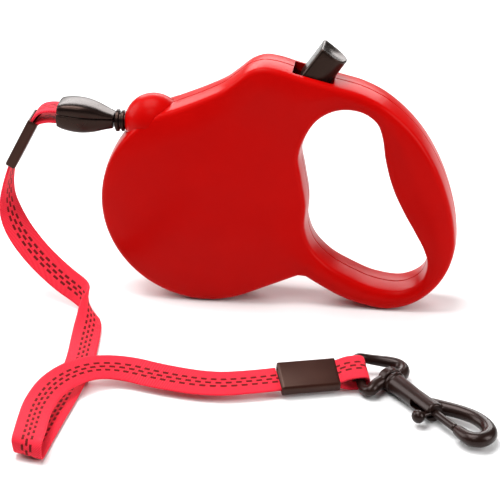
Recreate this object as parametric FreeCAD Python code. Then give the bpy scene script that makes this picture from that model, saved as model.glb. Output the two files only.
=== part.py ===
import math
import os

import FreeCAD
import Part

# Retractable leash, millimetres.  +Z is up, +X points from the nose to the handle and +Y to the rear side.
# The housing stands on the drum and on the handle; the origin lies under the middle of the object.

# housing
SCREW_PLACES = [(-3.6, 99.6), (70.5, 73.0), (83.9, 27.0), (21.9, 21.9)]
DRUM_X = -23.1          # centre of the drum
DRUM_Z = 47.6
DRUM_R = 48.0
RIM_HALF = 12.5         # half thickness at the rim, neck and handle
FACE_HALF = 16.5        # half thickness at the middle of the domed drum faces
DOME_FACE_R = 42.0      # radius of the domed part of a drum face
WALL = 2.3
RIM_FILLET = 5.0
HOLE_FILLET = 3.5
NOTCH_FILLET = 2.5
DRUM_TOP_DEG = 106.4    # where the neck leaves the drum's circle
DRUM_END_DEG = 294.0    # where the straight run to the handle leaves it
NOTCH = (21.3, 14.8)
HANDLE = [(28.7, 10.3), (37.5, 5.4), (49.0, 1.4), (60.5, -0.3), (72.0, 2.8), (81.3, 10.0), (87.6, 19.6),
          (90.6, 30.6), (90.2, 41.6), (86.8, 56.6), (81.0, 71.2), (73.3, 83.8), (64.5, 93.4), (56.0, 99.9),
          (46.0, 104.6), (36.0, 107.2), (17.5, 111.9), (8.5, 114.4), (3.0, 115.0), (-3.2, 113.0),
          (-9.0, 108.5), (-14.6, 104.0), (-23.4, 99.4)]
FINGER_HOLE = [(23.4, 49.6), (21.4, 62.5), (19.9, 72.5), (22.8, 82.6), (28.6, 90.9), (35.0, 94.6),
               (41.0, 95.5), (48.5, 93.8), (53.5, 89.5), (55.6, 83.6), (57.2, 73.5), (61.0, 59.6),
               (66.4, 47.9), (72.0, 37.8), (75.7, 30.6), (77.6, 23.5), (75.3, 15.6), (67.5, 10.6),
               (55.3, 11.0), (43.0, 15.8), (32.4, 22.2), (26.0, 29.6), (23.2, 38.0)]

# nose, cord and cord stop
CORD_R = 1.2
CORD_Z = 83.0
NOSE_X = -47.1          # centre of the nose dome
NOSE_R = 13.4
NOSE_HALF = 11.8        # half width of the dome
BUSH_BACK = -48.0
BUSH_FRONT = -64.6
BUSH_BORE_R = 1.8
BUSH_R = 3.55
NOSE_BORE_R = 3.6
SPOOL_SPACE_R = 43.0    # room kept free round the spool
CORD_RUN_BACK = -47.5   # clear of the ratchet's teeth
STOP_TILT = 6.0         # the cord stop points this many degrees upwards
STOP_X = -65.1
STOP_SECTIONS = [(0.0, 8.0, 6.4), (4.0, 10.6, 8.6), (9.0, 13.6, 12.0), (15.0, 16.0, 13.8),
                 (20.0, 16.0, 13.6), (24.3, 15.4, 11.8), (25.8, 14.4, 10.4)]
STOP_SPLIT = 1.6        # height of the joint between its halves above its axis
LOOP_PIN_S = 19.5
LOOP_PIN_R = 1.5

# spool
FLANGE_R = 39.0
RATCHET_R = 41.0
ROOT_R = 38.2
TEETH = 24
GAP_DEG = 51.5          # direction of the tooth gap that faces the pawl
CORE_R = 19.5
WINDING_R = 36.2
AXLE_R = 3.0
CUP_R = 33.0
CHANNEL_FRONT = -8.6
PLATE_HALF = 1.2
COVER_FRONT = 9.4
CLEAR = 0.3             # gap kept between pieces that move past each other
RUNNING = 0.05          # radial clearance of a running fit

# brake
STEM_DEG = 55.0         # the button's axis leans this far from the horizontal
BUTTON_TOP = (33.7, 118.9)
BUTTON_HALF_P = 6.5     # half size along the slot
BUTTON_HALF_Y = 7.3
BUTTON_DEPTH = 18.0
STEM_END = 36.0
LOCK_TRAVEL = 4.0
LOCK_DIR = (-0.970, 0.0, 0.242)
PAWL_PIVOT = (-6.0, 92.1)
PAWL_PAD_Z = 88.9
PAWL_PIN_R = 1.5
PAWL_BORE_R = 1.55
PAWL_BOSS_R = 3.6
PAWL_NOSE_HALF = 1.6    # half thickness of the pawl's nose, which reaches between the flanges

# webbing and snap
TAPE_WIDTH = 12.6
TAPE_THICK = 1.2
WEBBING_R = 1.6
SLEEVE = (25.0, 15.5, 5.0)
UPPER_SLEEVE_TOP = (-101.2, 0.0, 82.8)
UPPER_SLEEVE_DEG = 62.0
LOWER_SLEEVE = (32.0, -88.4, 5.9)
LOWER_YAW = 17.0
LOWER_TILT = 20.0
SNAP_ORIGIN = (65.2, -83.0, 4.7)
SNAP_YAW = -53.0
SNAP_WIRE_R = 2.5
BARREL_R = 4.0
GATE_R = 1.7

ROUTE = [(-113.1, 0.0, 60.4), (-116.6, -1.8, 49.0), (-113.5, -6.5, 34.5), (-103.0, -13.0, 22.5),
         (-88.5, -19.5, 12.0), (-76.0, -26.5, 6.0), (-71.0, -39.0, 2.4), (-69.8, -57.0, 1.9),
         (-67.8, -80.0, 1.8), (-68.4, -104.0, 1.8), (-70.4, -127.0, 1.8), (-71.6, -144.0, 1.8),
         (-72.2, -154.0, 1.7), (-72.5, -160.5, 2.1), (-72.6, -160.6, 8.7), (-72.9, -154.2, 9.1),
         (-74.0, -144.0, 8.3), (-75.0, -128.0, 8.0), (-71.8, -111.0, 8.6), (-62.0, -97.0, 8.6),
         (-48.0, -90.5, 6.4), (-30.0, -96.0, 5.2), (-8.0, -100.2, 5.6), (9.0, -96.2, 5.9),
         (19.7, -92.2, 5.9)]


def vec(x, y, z):
    return FreeCAD.Vector(x, y, z)


def flat(x, z, y=0.0):
    return vec(x, y, z)


def box(low, high):
    return Part.makeBox(high[0] - low[0], high[1] - low[1], high[2] - low[2], vec(*low))


def cylinder_y(x, z, radius, y_low, y_high):
    return Part.makeCylinder(radius, y_high - y_low, vec(x, y_low, z), vec(0, 1, 0))


def cylinder_x(x_low, x_high, y, z, radius):
    return Part.makeCylinder(radius, x_high - x_low, vec(x_low, y, z), vec(1, 0, 0))


def plate(points, y_low, y_high):
    """A flat plate with a straight-sided outline in the XZ plane."""
    corners = [flat(x, z, y_low) for x, z in points]
    face = Part.Face(Part.makePolygon(corners + corners[:1]))
    return face.extrude(vec(0, y_high - y_low, 0))


def smooth_edge(points, closed, start=None, end=None):
    curve = Part.BSplineCurve()
    vectors = [flat(x, z) for x, z in points]
    if closed:
        curve.interpolate(Points=vectors, PeriodicFlag=True)
    else:
        curve.interpolate(Points=vectors, InitialTangent=start, FinalTangent=end)
    return curve.toShape()


def revolve_y(profile, x, z):
    """A solid turned about the line through (x, z) along Y; the profile is (radius, y) pairs."""
    corners = [vec(x + r, y, z) for r, y in profile]
    face = Part.Face(Part.makePolygon(corners + corners[:1]))
    return face.revolve(vec(x, 0, z), vec(0, 1, 0), 360)


def revolve_x(profile, y, z):
    """A solid turned about the line through (y, z) along X; the profile is (x, radius) pairs."""
    corners = [vec(x, y, z + r) for x, r in profile]
    face = Part.Face(Part.makePolygon(corners + corners[:1]))
    return face.revolve(vec(0, y, z), vec(1, 0, 0), 360)


def fillet_where(solid, radius, wanted):
    edges = [e for e in solid.Edges if wanted(e)]
    return solid.makeFillet(radius, edges)


def rounded_path(points):
    """Straight runs joined by tangent arcs, with the arcs' radii."""
    corners = [vec(*p) for p in points]
    edges, radii, at = [], [], corners[0]
    for before, corner, after in zip(corners, corners[1:], corners[2:]):
        back = (before - corner).normalize()
        ahead = (after - corner).normalize()
        half_turn = (math.pi - back.getAngle(ahead)) / 2
        cut = 0.45 * min((before - corner).Length, (after - corner).Length)
        first = corner + back * cut
        last = corner + ahead * cut
        radius = cut / math.tan(half_turn)
        centre = corner + (back + ahead).normalize() * (radius / math.cos(half_turn))
        middle = centre + (corner - centre).normalize() * radius
        edges.append(Part.LineSegment(at, first).toShape())
        edges.append(Part.Arc(first, middle, last).toShape())
        radii.append(radius)
        at = last
    edges.append(Part.LineSegment(at, corners[-1]).toShape())
    return Part.Wire(edges), radii


def tube(points, radius):
    path, radii = rounded_path(points)
    start = vec(*points[0])
    heading = vec(*points[1]) - start
    ring = Part.Wire(Part.makeCircle(radius, start, heading))
    return path.makePipeShell([ring], True, False), path, radii


def rounded_section(x, width_y, width_z):
    """A rounded rectangle in the plane of constant x, centred on the X axis."""
    corner = 0.34 * min(width_y, width_z)
    a, b = width_y / 2, width_z / 2
    k = corner * (1 - math.sqrt(0.5))
    edges = []
    signs = [(1, 1), (-1, 1), (-1, -1), (1, -1)]
    ends = []
    for sy, sz in signs:
        side = vec(x, sy * a, sz * (b - corner))
        top = vec(x, sy * (a - corner), sz * b)
        middle = vec(x, sy * (a - k), sz * (b - k))
        pair = (side, middle, top) if sy == sz else (top, middle, side)
        ends.append(pair)
    for index, (first, middle, last) in enumerate(ends):
        edges.append(Part.Arc(first, middle, last).toShape())
        following = ends[(index + 1) % len(ends)][0]
        edges.append(Part.LineSegment(last, following).toShape())
    return Part.Wire(edges)


def stem_frame():
    """The button's axis u, pointing out of the housing, and p across it towards the handle."""
    angle = math.radians(STEM_DEG)
    u = (math.cos(angle), math.sin(angle))
    p = (math.sin(angle), -math.cos(angle))
    return u, p


def stem_point(depth, across=0.0):
    u, p = stem_frame()
    return (BUTTON_TOP[0] - u[0] * depth + p[0] * across, BUTTON_TOP[1] - u[1] * depth + p[1] * across)


def stem_plate(depth_low, depth_high, across_low, across_high, half_y):
    corners = [stem_point(depth_low, across_low), stem_point(depth_low, across_high),
               stem_point(depth_high, across_high), stem_point(depth_high, across_low)]
    return plate(corners, -half_y, half_y)


def drum_point(degrees, radius=DRUM_R):
    angle = math.radians(degrees)
    return DRUM_X + radius * math.cos(angle), DRUM_Z + radius * math.sin(angle)


# ---- housing ----

def outline_face():
    top = drum_point(DRUM_TOP_DEG)
    side = drum_point(180.0)
    end = drum_point(DRUM_END_DEG)
    arc = Part.Arc(flat(*top), flat(*side), flat(*end)).toShape()
    run = Part.LineSegment(flat(*end), flat(*NOTCH)).toShape()
    rest = smooth_edge([NOTCH] + HANDLE + [top], False, vec(1.0, 0, -0.62), vec(-1.0, 0, -0.40))
    return Part.Face(Part.Wire([arc, run, rest]))


def hole_face():
    return Part.Face(Part.Wire(smooth_edge(FINGER_HOLE, True)))


def shifted_face(face, distance, count):
    """The face of a smooth curve that runs at a distance inside (or, negative, outside) a face's edge."""
    points = face.OuterWire.discretize(Number=count + 1)[:-1]
    shifted = []
    for index, point in enumerate(points):
        along = points[(index + 1) % count] - points[index - 1]
        normal = vec(along.z, 0, -along.x).normalize()
        inward = 1 if face.isInside(point + normal * 0.2, 0.01, True) else -1
        moved = point + normal * (inward * distance)
        nearest = min((moved - other).Length for other in points)
        if nearest > abs(distance) * 0.93:
            shifted.append((moved.x, moved.z))
    return Part.Face(Part.Wire(smooth_edge(shifted, True)))


def slab(face, half):
    moved = face.copy()
    moved.translate(vec(0, -half, 0))
    return moved.extrude(vec(0, 2 * half, 0))


def domed_disc(radius, half_edge, half_middle):
    """A disc with shallow domed faces on both sides, turned about the drum's axis."""
    rise = half_middle - half_edge
    middle_r = radius * 0.55
    sphere_r = (radius ** 2 + rise ** 2) / (2 * rise)
    middle_y = half_middle - sphere_r + math.sqrt(sphere_r ** 2 - middle_r ** 2)

    def at(r, y):
        return vec(DRUM_X + r, y, DRUM_Z)
    edges = [Part.LineSegment(at(0, -half_middle), at(0, half_middle)).toShape(),
             Part.Arc(at(0, half_middle), at(middle_r, middle_y), at(radius, half_edge)).toShape(),
             Part.LineSegment(at(radius, half_edge), at(radius, -half_edge)).toShape(),
             Part.Arc(at(radius, -half_edge), at(middle_r, -middle_y), at(0, -half_middle)).toShape()]
    face = Part.Face(Part.Wire(edges))
    return face.revolve(vec(DRUM_X, 0, DRUM_Z), vec(0, 1, 0), 360)


def housing_block():
    body = slab(outline_face(), RIM_HALF)
    body = fillet_where(body, NOTCH_FILLET, is_notch)
    body = fillet_where(body, RIM_FILLET, lambda e: on_face(e, RIM_HALF))
    hole = slab(hole_face(), 2 * RIM_HALF)
    body = body.cut(hole)
    body = fillet_where(body, HOLE_FILLET, lambda e: on_face(e, RIM_HALF) and around_hole(e))
    return body.fuse(domed_disc(DOME_FACE_R, RIM_HALF - 0.2, FACE_HALF))


def is_notch(edge):
    ends = [v.Point for v in edge.Vertexes]
    near = all(math.hypot(p.x - NOTCH[0], p.z - NOTCH[1]) < 0.5 for p in ends)
    return len(ends) == 2 and near


def on_face(edge, half):
    box_ = edge.BoundBox
    return abs(abs(box_.YMin) - half) < 0.01 and box_.YLength < 0.02


def around_hole(edge):
    """Whether an edge keeps within a few millimetres of the finger hole's own extent."""
    margin = 4.5
    box_ = edge.BoundBox
    across = [x for x, _ in FINGER_HOLE]
    upright = [z for _, z in FINGER_HOLE]
    return (box_.XMin > min(across) - margin and box_.XMax < max(across) + margin
            and box_.ZMin > min(upright) - margin and box_.ZMax < max(upright) + margin)


def cavity_block():
    body = slab(shifted_face(outline_face(), WALL, 120), RIM_HALF - WALL)
    body = body.cut(slab(shifted_face(hole_face(), -WALL, 60), RIM_HALF))
    return body.fuse(domed_disc(DOME_FACE_R - 1.0, RIM_HALF - WALL - 0.2, FACE_HALF - WALL))


def nose_dome(grow=0.0):
    ball = Part.makeSphere(NOSE_R + grow)
    squash = FreeCAD.Matrix()
    squash.scale(1.0, (NOSE_HALF + grow) / (NOSE_R + grow), 1.0)
    ball = ball.transformGeometry(squash)
    ball.translate(vec(NOSE_X, 0, CORD_Z))
    return ball


def make_nose_guide():
    dome = nose_dome().cut(cylinder_y(DRUM_X, DRUM_Z, SPOOL_SPACE_R, -20, 20))
    return dome.cut(cylinder_x(-70, -30, 0, CORD_Z, NOSE_BORE_R))


def make_nose_bush():
    profile = [(BUSH_BACK, BUSH_BORE_R), (BUSH_FRONT, BUSH_BORE_R), (BUSH_FRONT, 4.2), (-64.0, 5.1),
               (-62.9, 5.1), (-62.5, 4.0), (-61.9, 4.0), (-61.5, 4.9), (-60.6, 4.9), (-60.3, BUSH_R),
               (BUSH_BACK, BUSH_R)]
    return revolve_x(profile, 0, CORD_Z).cut(cylinder_y(DRUM_X, DRUM_Z, SPOOL_SPACE_R, -20, 20))


def shell_bosses(side):
    """Screw bosses and the axle boss on the inside of one shell; side is -1 for front, 1 for rear."""
    bosses = [cylinder_y(x, z, 3.6, *sorted((0.0, side * (RIM_HALF - 1.0)))) for x, z in SCREW_PLACES]
    bosses.append(cylinder_y(DRUM_X, DRUM_Z, 6.0, *sorted((side * 12.0, side * (FACE_HALF - 1.0)))))
    return bosses


def slider_ribs(side):
    """Two ribs in each shell, parallel to the lock's travel, that guide the lock slider."""
    ribs = []
    for depth_low, depth_high in ((20.4, 22.2), (29.6, 31.2)):
        rib = stem_plate(depth_low, depth_high, -13.0, 10.0, RIM_HALF - 1.0)
        keep = box((-60, 7.6, 0), (120, RIM_HALF - 1.0, 130)) if side > 0 else \
            box((-60, -RIM_HALF + 1.0, 0), (120, -7.6, 130))
        ribs.append(rib.common(keep))
    return ribs


def button_slot():
    advance = LOCK_TRAVEL * abs(LOCK_DIR[0] * stem_frame()[1][0] + LOCK_DIR[2] * stem_frame()[1][1])
    return stem_plate(-10.0, BUTTON_DEPTH + 1.2, -BUTTON_HALF_P - advance - 0.5,
                      BUTTON_HALF_P + 0.4, BUTTON_HALF_Y + 0.4)


def make_shell(side):
    wall = housing_block().cut(cavity_block())
    inside = housing_block()
    for extra in shell_bosses(side) + slider_ribs(side):
        wall = wall.fuse(extra.common(inside))
    half = box((-120, -30, 0), (120, 0, 130)) if side < 0 else box((-120, 0, 0), (120, 30, 130))
    wall = wall.common(half)
    wall = wall.cut(nose_dome(0.1))
    wall = wall.cut(cylinder_x(-80, -50, 0, CORD_Z, 5.6))
    wall = wall.cut(button_slot())
    for x, z in SCREW_PLACES:
        if side < 0:
            wall = wall.cut(cylinder_y(x, z, 1.45, -9.0, 1.0))
        else:
            wall = wall.cut(cylinder_y(x, z, 1.65, -1.0, 20.0))
            wall = wall.cut(cylinder_y(x, z, 3.1, 8.0, 20.0))
    wall = wall.cut(cylinder_y(DRUM_X, DRUM_Z, AXLE_R + RUNNING, *sorted((0.0, side * 14.6))))
    pin = cylinder_y(PAWL_PIVOT[0], PAWL_PIVOT[1], 3.0, *sorted((side * 4.2, side * (RIM_HALF - 1.0))))
    bore = cylinder_y(PAWL_PIVOT[0], PAWL_PIVOT[1], PAWL_BORE_R, *sorted((0.0, side * 9.0)))
    return biggest(wall.fuse(pin).cut(bore))


def biggest(shape):
    return max(shape.Solids, key=lambda s: s.Volume)


def make_case_screws():
    screws = []
    for x, z in SCREW_PLACES:
        shank = cylinder_y(x, z, 1.4, -8.5, 9.0)
        head = cylinder_y(x, z, 2.8, 8.05, 10.2)
        cross = box((x - 1.9, 9.2, z - 0.35), (x + 1.9, 11, z + 0.35))
        cross = cross.fuse(box((x - 0.35, 9.2, z - 1.9), (x + 0.35, 11, z + 1.9)))
        screws.append(shank.fuse(head).cut(cross))
    return Part.makeCompound(screws)


# ---- spool ----

def make_spool_axle():
    return cylinder_y(DRUM_X, DRUM_Z, AXLE_R, -14.4, 14.4)


def make_axle_washers():
    washers = []
    for low, high in ((-11.6, -10.9), (10.9, 11.6)):
        ring = cylinder_y(DRUM_X, DRUM_Z, 5.6, low, high)
        washers.append(ring.cut(cylinder_y(DRUM_X, DRUM_Z, AXLE_R + 0.1, low - 1, high + 1)))
    return Part.makeCompound(washers)


def make_spring_arbor():
    arbor = cylinder_y(DRUM_X, DRUM_Z, 5.4, 1.8, 9.0)
    return arbor.cut(cylinder_y(DRUM_X, DRUM_Z, AXLE_R, 0, 12))


def ratchet_teeth():
    teeth = []
    pitch = 360.0 / TEETH
    for index in range(TEETH):
        middle = GAP_DEG + pitch * (index + 0.5)
        corners = [drum_point(middle - 3.2, ROOT_R - 1.0), drum_point(middle - 2.0, RATCHET_R),
                   drum_point(middle + 2.0, RATCHET_R), drum_point(middle + 3.2, ROOT_R - 1.0)]
        teeth.append(plate(corners, -PLATE_HALF, PLATE_HALF))
    return teeth


def make_spool_hub():
    hub = cylinder_y(DRUM_X, DRUM_Z, CORE_R, CHANNEL_FRONT, PLATE_HALF)
    hub = hub.fuse(cylinder_y(DRUM_X, DRUM_Z, ROOT_R, -PLATE_HALF, PLATE_HALF))
    cup = cylinder_y(DRUM_X, DRUM_Z, CUP_R, 0.0, COVER_FRONT)
    cup = cup.cut(cylinder_y(DRUM_X, DRUM_Z, CUP_R - 1.6, PLATE_HALF, COVER_FRONT + 1))
    hub = hub.multiFuse([cup] + ratchet_teeth())
    lightening = cylinder_y(DRUM_X, DRUM_Z, CORE_R - 2.0, CHANNEL_FRONT - 1, -PLATE_HALF)
    lightening = lightening.cut(cylinder_y(DRUM_X, DRUM_Z, 6.0, CHANNEL_FRONT - 1, 0))
    hub = hub.cut(lightening)
    hub = hub.cut(cylinder_y(DRUM_X, DRUM_Z, AXLE_R + RUNNING, -20, 20))
    return hub.removeSplitter()


def make_spool_flange():
    flange = cylinder_y(DRUM_X, DRUM_Z, FLANGE_R, CHANNEL_FRONT - 1.2, CHANNEL_FRONT)
    flange = flange.cut(cylinder_y(DRUM_X, DRUM_Z, AXLE_R + 0.4, -20, 0))
    for index in range(6):
        x, z = drum_point(60.0 * index, 12.5)
        flange = flange.cut(cylinder_y(x, z, 3.2, -20, 0))
    return flange


def make_spring_cover():
    cover = cylinder_y(DRUM_X, DRUM_Z, CUP_R, COVER_FRONT, COVER_FRONT + 1.0)
    return cover.cut(cylinder_y(DRUM_X, DRUM_Z, AXLE_R + 0.4, 0, 20))


def make_mainspring():
    """A flat strip wound in half turns between the arbor and the cup's wall."""
    thick, step = 0.6, 3.0
    x, z = DRUM_X, DRUM_Z
    radius, side = 6.2, 1
    outer, inner = [], []
    while radius + step / 2 < CUP_R - 2.6:
        for offset, edges in ((thick / 2, outer), (-thick / 2, inner)):
            r = radius + offset
            start = flat(x + side * r, z, 2.0)
            middle = flat(x, z + side * r, 2.0)
            end = flat(x - side * r, z, 2.0)
            edges.append(Part.Arc(start, middle, end).toShape())
        radius += step / 2
        x += side * step / 2
        side = -side
    first = Part.LineSegment(outer[0].Vertexes[0].Point, inner[0].Vertexes[0].Point).toShape()
    last = Part.LineSegment(outer[-1].Vertexes[-1].Point, inner[-1].Vertexes[-1].Point).toShape()
    wire = Part.Wire(Part.__sortEdges__(outer + inner + [first, last]))
    return Part.Face(wire).extrude(vec(0, 6.6, 0))


def make_cord_winding():
    """The wound cord as one ring whose outside shows its three wraps side by side."""
    low, high = CHANNEL_FRONT + 0.15, -PLATE_HALF - 0.15
    width = (high - low) / 3
    edges = [Part.LineSegment(vec(DRUM_X + CORE_R + 0.1, low, DRUM_Z),
                              vec(DRUM_X + WINDING_R - width / 2, low, DRUM_Z)).toShape()]
    for wrap in range(3):
        start = vec(DRUM_X + WINDING_R - width / 2, low + wrap * width, DRUM_Z)
        middle = vec(DRUM_X + WINDING_R, low + (wrap + 0.5) * width, DRUM_Z)
        end = vec(DRUM_X + WINDING_R - width / 2, low + (wrap + 1) * width, DRUM_Z)
        edges.append(Part.Arc(start, middle, end).toShape())
    edges.append(Part.LineSegment(vec(DRUM_X + WINDING_R - width / 2, high, DRUM_Z),
                                  vec(DRUM_X + CORE_R + 0.1, high, DRUM_Z)).toShape())
    edges.append(Part.LineSegment(vec(DRUM_X + CORE_R + 0.1, high, DRUM_Z),
                                  vec(DRUM_X + CORE_R + 0.1, low, DRUM_Z)).toShape())
    return Part.Face(Part.Wire(edges)).revolve(vec(DRUM_X, 0, DRUM_Z), vec(0, 1, 0), 360)


def make_cord_run():
    """The cord inside the nose bush, up to its mouth."""
    return cylinder_x(BUSH_FRONT, CORD_RUN_BACK, 0, CORD_Z, CORD_R)


# ---- brake ----

def make_brake_button():
    """A thumb button, flat towards the nose and round towards the handle, on a narrow stem."""
    u, p = stem_frame()
    top = vec(BUTTON_TOP[0], 0, BUTTON_TOP[1])
    u3, p3, y3 = vec(u[0], 0, u[1]), vec(p[0], 0, p[1]), vec(0, 1, 0)

    def at(across, y):
        return top + p3 * across + y3 * y + u3 * 2.5
    a, b = BUTTON_HALF_P, BUTTON_HALF_Y
    edges = [Part.LineSegment(at(-a, b), at(-a, -b)).toShape(),
             Part.LineSegment(at(-a, -b), at(-a * 0.1, -b)).toShape(),
             Part.Arc(at(-a * 0.1, -b), at(a, 0), at(-a * 0.1, b)).toShape(),
             Part.LineSegment(at(-a * 0.1, b), at(-a, b)).toShape()]
    cap = Part.Face(Part.Wire(edges)).extrude(u3 * (-BUTTON_DEPTH - 2.5))
    sideways = [e for e in cap.Edges if e.BoundBox.YLength < 0.01 and e.Length > 10
                and abs(abs(e.BoundBox.YMin) - b) < 0.01]
    cap = cap.makeFillet(1.2, [e for e in sideways if e.Length > BUTTON_DEPTH])
    thumb = Part.makeCylinder(22.0, 40.0, top + u3 * 21.2 + y3 * -20 + p3 * -1.0, y3)
    slope = Part.makeCylinder(60.0, 40.0, top + u3 * -58.6 - y3 * 20 + p3 * 4.0, y3)
    cap = cap.cut(thumb).common(slope)
    stem = stem_plate(BUTTON_DEPTH - 1.0, STEM_END, -2.5, 2.5, 3.0)
    foot = box((-60, -10, 0), (120, 10, PAWL_PAD_Z + CLEAR))
    return cap.fuse(stem.cut(foot)).removeSplitter()


def make_lock_slider():
    frame = stem_plate(22.6, 27.8, -8.5, 6.5, 9.6)
    return frame.cut(stem_plate(20.0, 30.0, -2.8, 2.8, 3.3))


def bellows(length, radius, wire, turns):
    """A coil spring's outer and inner size as one corrugated sleeve along +Z from the origin."""
    pitch = length / turns
    outer, inner = [], []
    for turn in range(turns):
        outer += [(radius - wire, turn * pitch), (radius, (turn + 0.5) * pitch)]
        inner += [(radius - 2 * wire, turn * pitch), (radius - wire, (turn + 0.5) * pitch)]
    outer.append((radius - wire, length))
    inner.append((radius - 2 * wire, length))
    corners = [vec(r, 0, z) for r, z in outer + inner[::-1]]
    face = Part.Face(Part.makePolygon(corners + corners[:1]))
    return face.revolve(vec(0, 0, 0), vec(0, 0, 1), 360)


def make_button_spring():
    u, _ = stem_frame()
    spring = bellows(2.9, 5.6, 0.55, 3)
    base = stem_point(22.4)
    turn = FreeCAD.Rotation(vec(0, 0, 1), vec(u[0], 0, u[1]))
    spring.Placement = FreeCAD.Placement(vec(base[0], 0, base[1]), turn)
    return spring


def make_brake_pawl():
    px, pz = PAWL_PIVOT
    corners = [(px - 1.0, pz + 3.2), (px + 8.0, pz + 0.5), (px + 14.0, PAWL_PAD_Z),
               (px + 22.0, PAWL_PAD_Z), (px + 20.5, PAWL_PAD_Z - 3.6), (px + 12.6, pz - 9.6),
               (px + 10.7, pz - 13.1), (px + 8.3, pz - 11.1), (px + 7.6, pz - 7.4), (px + 1.0, pz - 3.2)]
    pawl = plate(corners, -2.4, 2.4).fuse(cylinder_y(px, pz, PAWL_BOSS_R, -3.6, 3.6))
    for y_low, y_high in ((-10.0, -PAWL_NOSE_HALF), (PAWL_NOSE_HALF, 10.0)):
        pawl = pawl.cut(box((px + 6.0, y_low, pz - 20.0), (px + 16.0, y_high, pz - 9.0)))
    return pawl.cut(cylinder_y(px, pz, PAWL_BORE_R, -5, 5)).removeSplitter()


def make_pawl_pin():
    return cylinder_y(PAWL_PIVOT[0], PAWL_PIVOT[1], PAWL_PIN_R, -8.8, 8.8)


# ---- lead ----

def stop_placement():
    tilt = FreeCAD.Rotation(vec(0, 1, 0), STOP_TILT)
    return FreeCAD.Placement(vec(STOP_X, 0, CORD_Z), tilt)


def stop_block():
    wires = [rounded_section(-s, wide, high) for s, wide, high in STOP_SECTIONS]
    body = Part.makeLoft(wires, True, False)
    mouth = box((-30.0, -6.8, -4.6), (-14.5, 6.8, 4.6))
    body = body.cut(mouth)
    body = body.cut(cylinder_x(-12.5, 1.0, 0, 0, CORD_R + 0.2))
    return body.cut(cylinder_x(-12.5, -7.0, 0, 0, 3.4))


def make_cord_stop(upper):
    body = stop_block()
    low, high = (STOP_SPLIT, 20) if upper else (-20, STOP_SPLIT)
    half = box((-40, -20, low), (10, 20, high))
    body = body.common(half)
    body = body.cut(cylinder_y(-LOOP_PIN_S, 0, LOOP_PIN_R + 0.02, -7.4, 7.4))
    body = biggest(body)
    body.Placement = stop_placement().multiply(body.Placement)
    return body


def make_loop_pin():
    pin = cylinder_y(-LOOP_PIN_S, 0, LOOP_PIN_R, -7.3, 7.3)
    pin.Placement = stop_placement().multiply(pin.Placement)
    return pin


def make_cord_end():
    knot = cylinder_x(-12.0, -7.4, 0, 0, 3.2)
    knot = knot.makeFillet(1.4, knot.Edges)
    cord = knot.fuse(cylinder_x(-8.0, -0.3, 0, 0, CORD_R))
    cord.Placement = stop_placement().multiply(cord.Placement)
    return cord


def band(outer_points, inner_points, half_width):
    """A closed loop of tape: the space between two smooth closed outlines in the XZ plane."""
    outer = Part.Face(Part.Wire(smooth_edge(outer_points, True)))
    inner = Part.Face(Part.Wire(smooth_edge(inner_points, True)))
    return slab(outer, half_width).cut(slab(inner, half_width + 1))


def sleeve_at_origin():
    length, wide, thick = SLEEVE
    sleeve = Part.makeBox(length, wide, thick, vec(0, -wide / 2, -thick / 2))
    sleeve = sleeve.makeFillet(1.0, [e for e in sleeve.Edges if abs(e.Length - length) < 0.01])
    tail = 2 * TAPE_THICK + 0.4
    slot_width, slot_height = TAPE_WIDTH + 0.4, tail + 0.2
    slot = Part.makeBox(length + 2, slot_width, slot_height, vec(-1, -slot_width / 2, -slot_height / 2))
    return sleeve.cut(slot)


def loop_at_origin(reach, spread, eye_r):
    """Two layers of tape that leave a sleeve towards -X, spread out and turn around a bar."""
    tail = 2 * TAPE_THICK + 0.4
    strip = Part.makeBox(SLEEVE[0] + 1.4, TAPE_WIDTH, tail, vec(-1, -TAPE_WIDTH / 2, -tail / 2))
    bar_x = -reach
    outer_r = eye_r + TAPE_THICK
    outer = [(-0.2, tail / 2), (-reach * 0.45, spread / 2), (bar_x, outer_r), (bar_x - outer_r, 0),
             (bar_x, -outer_r), (-reach * 0.45, -spread / 2), (-0.2, -tail / 2)]
    inner = [(-2.2, 0.0), (-reach * 0.45, spread / 2 - TAPE_THICK), (bar_x, eye_r), (bar_x - eye_r, 0),
             (bar_x, -eye_r), (-reach * 0.45, -spread / 2 + TAPE_THICK)]
    return strip.fuse(band(outer, inner, TAPE_WIDTH / 2)).removeSplitter()


def upper_placement():
    turn = FreeCAD.Rotation(vec(0, 1, 0), 180.0 - UPPER_SLEEVE_DEG)
    return FreeCAD.Placement(vec(*UPPER_SLEEVE_TOP), turn)


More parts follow.
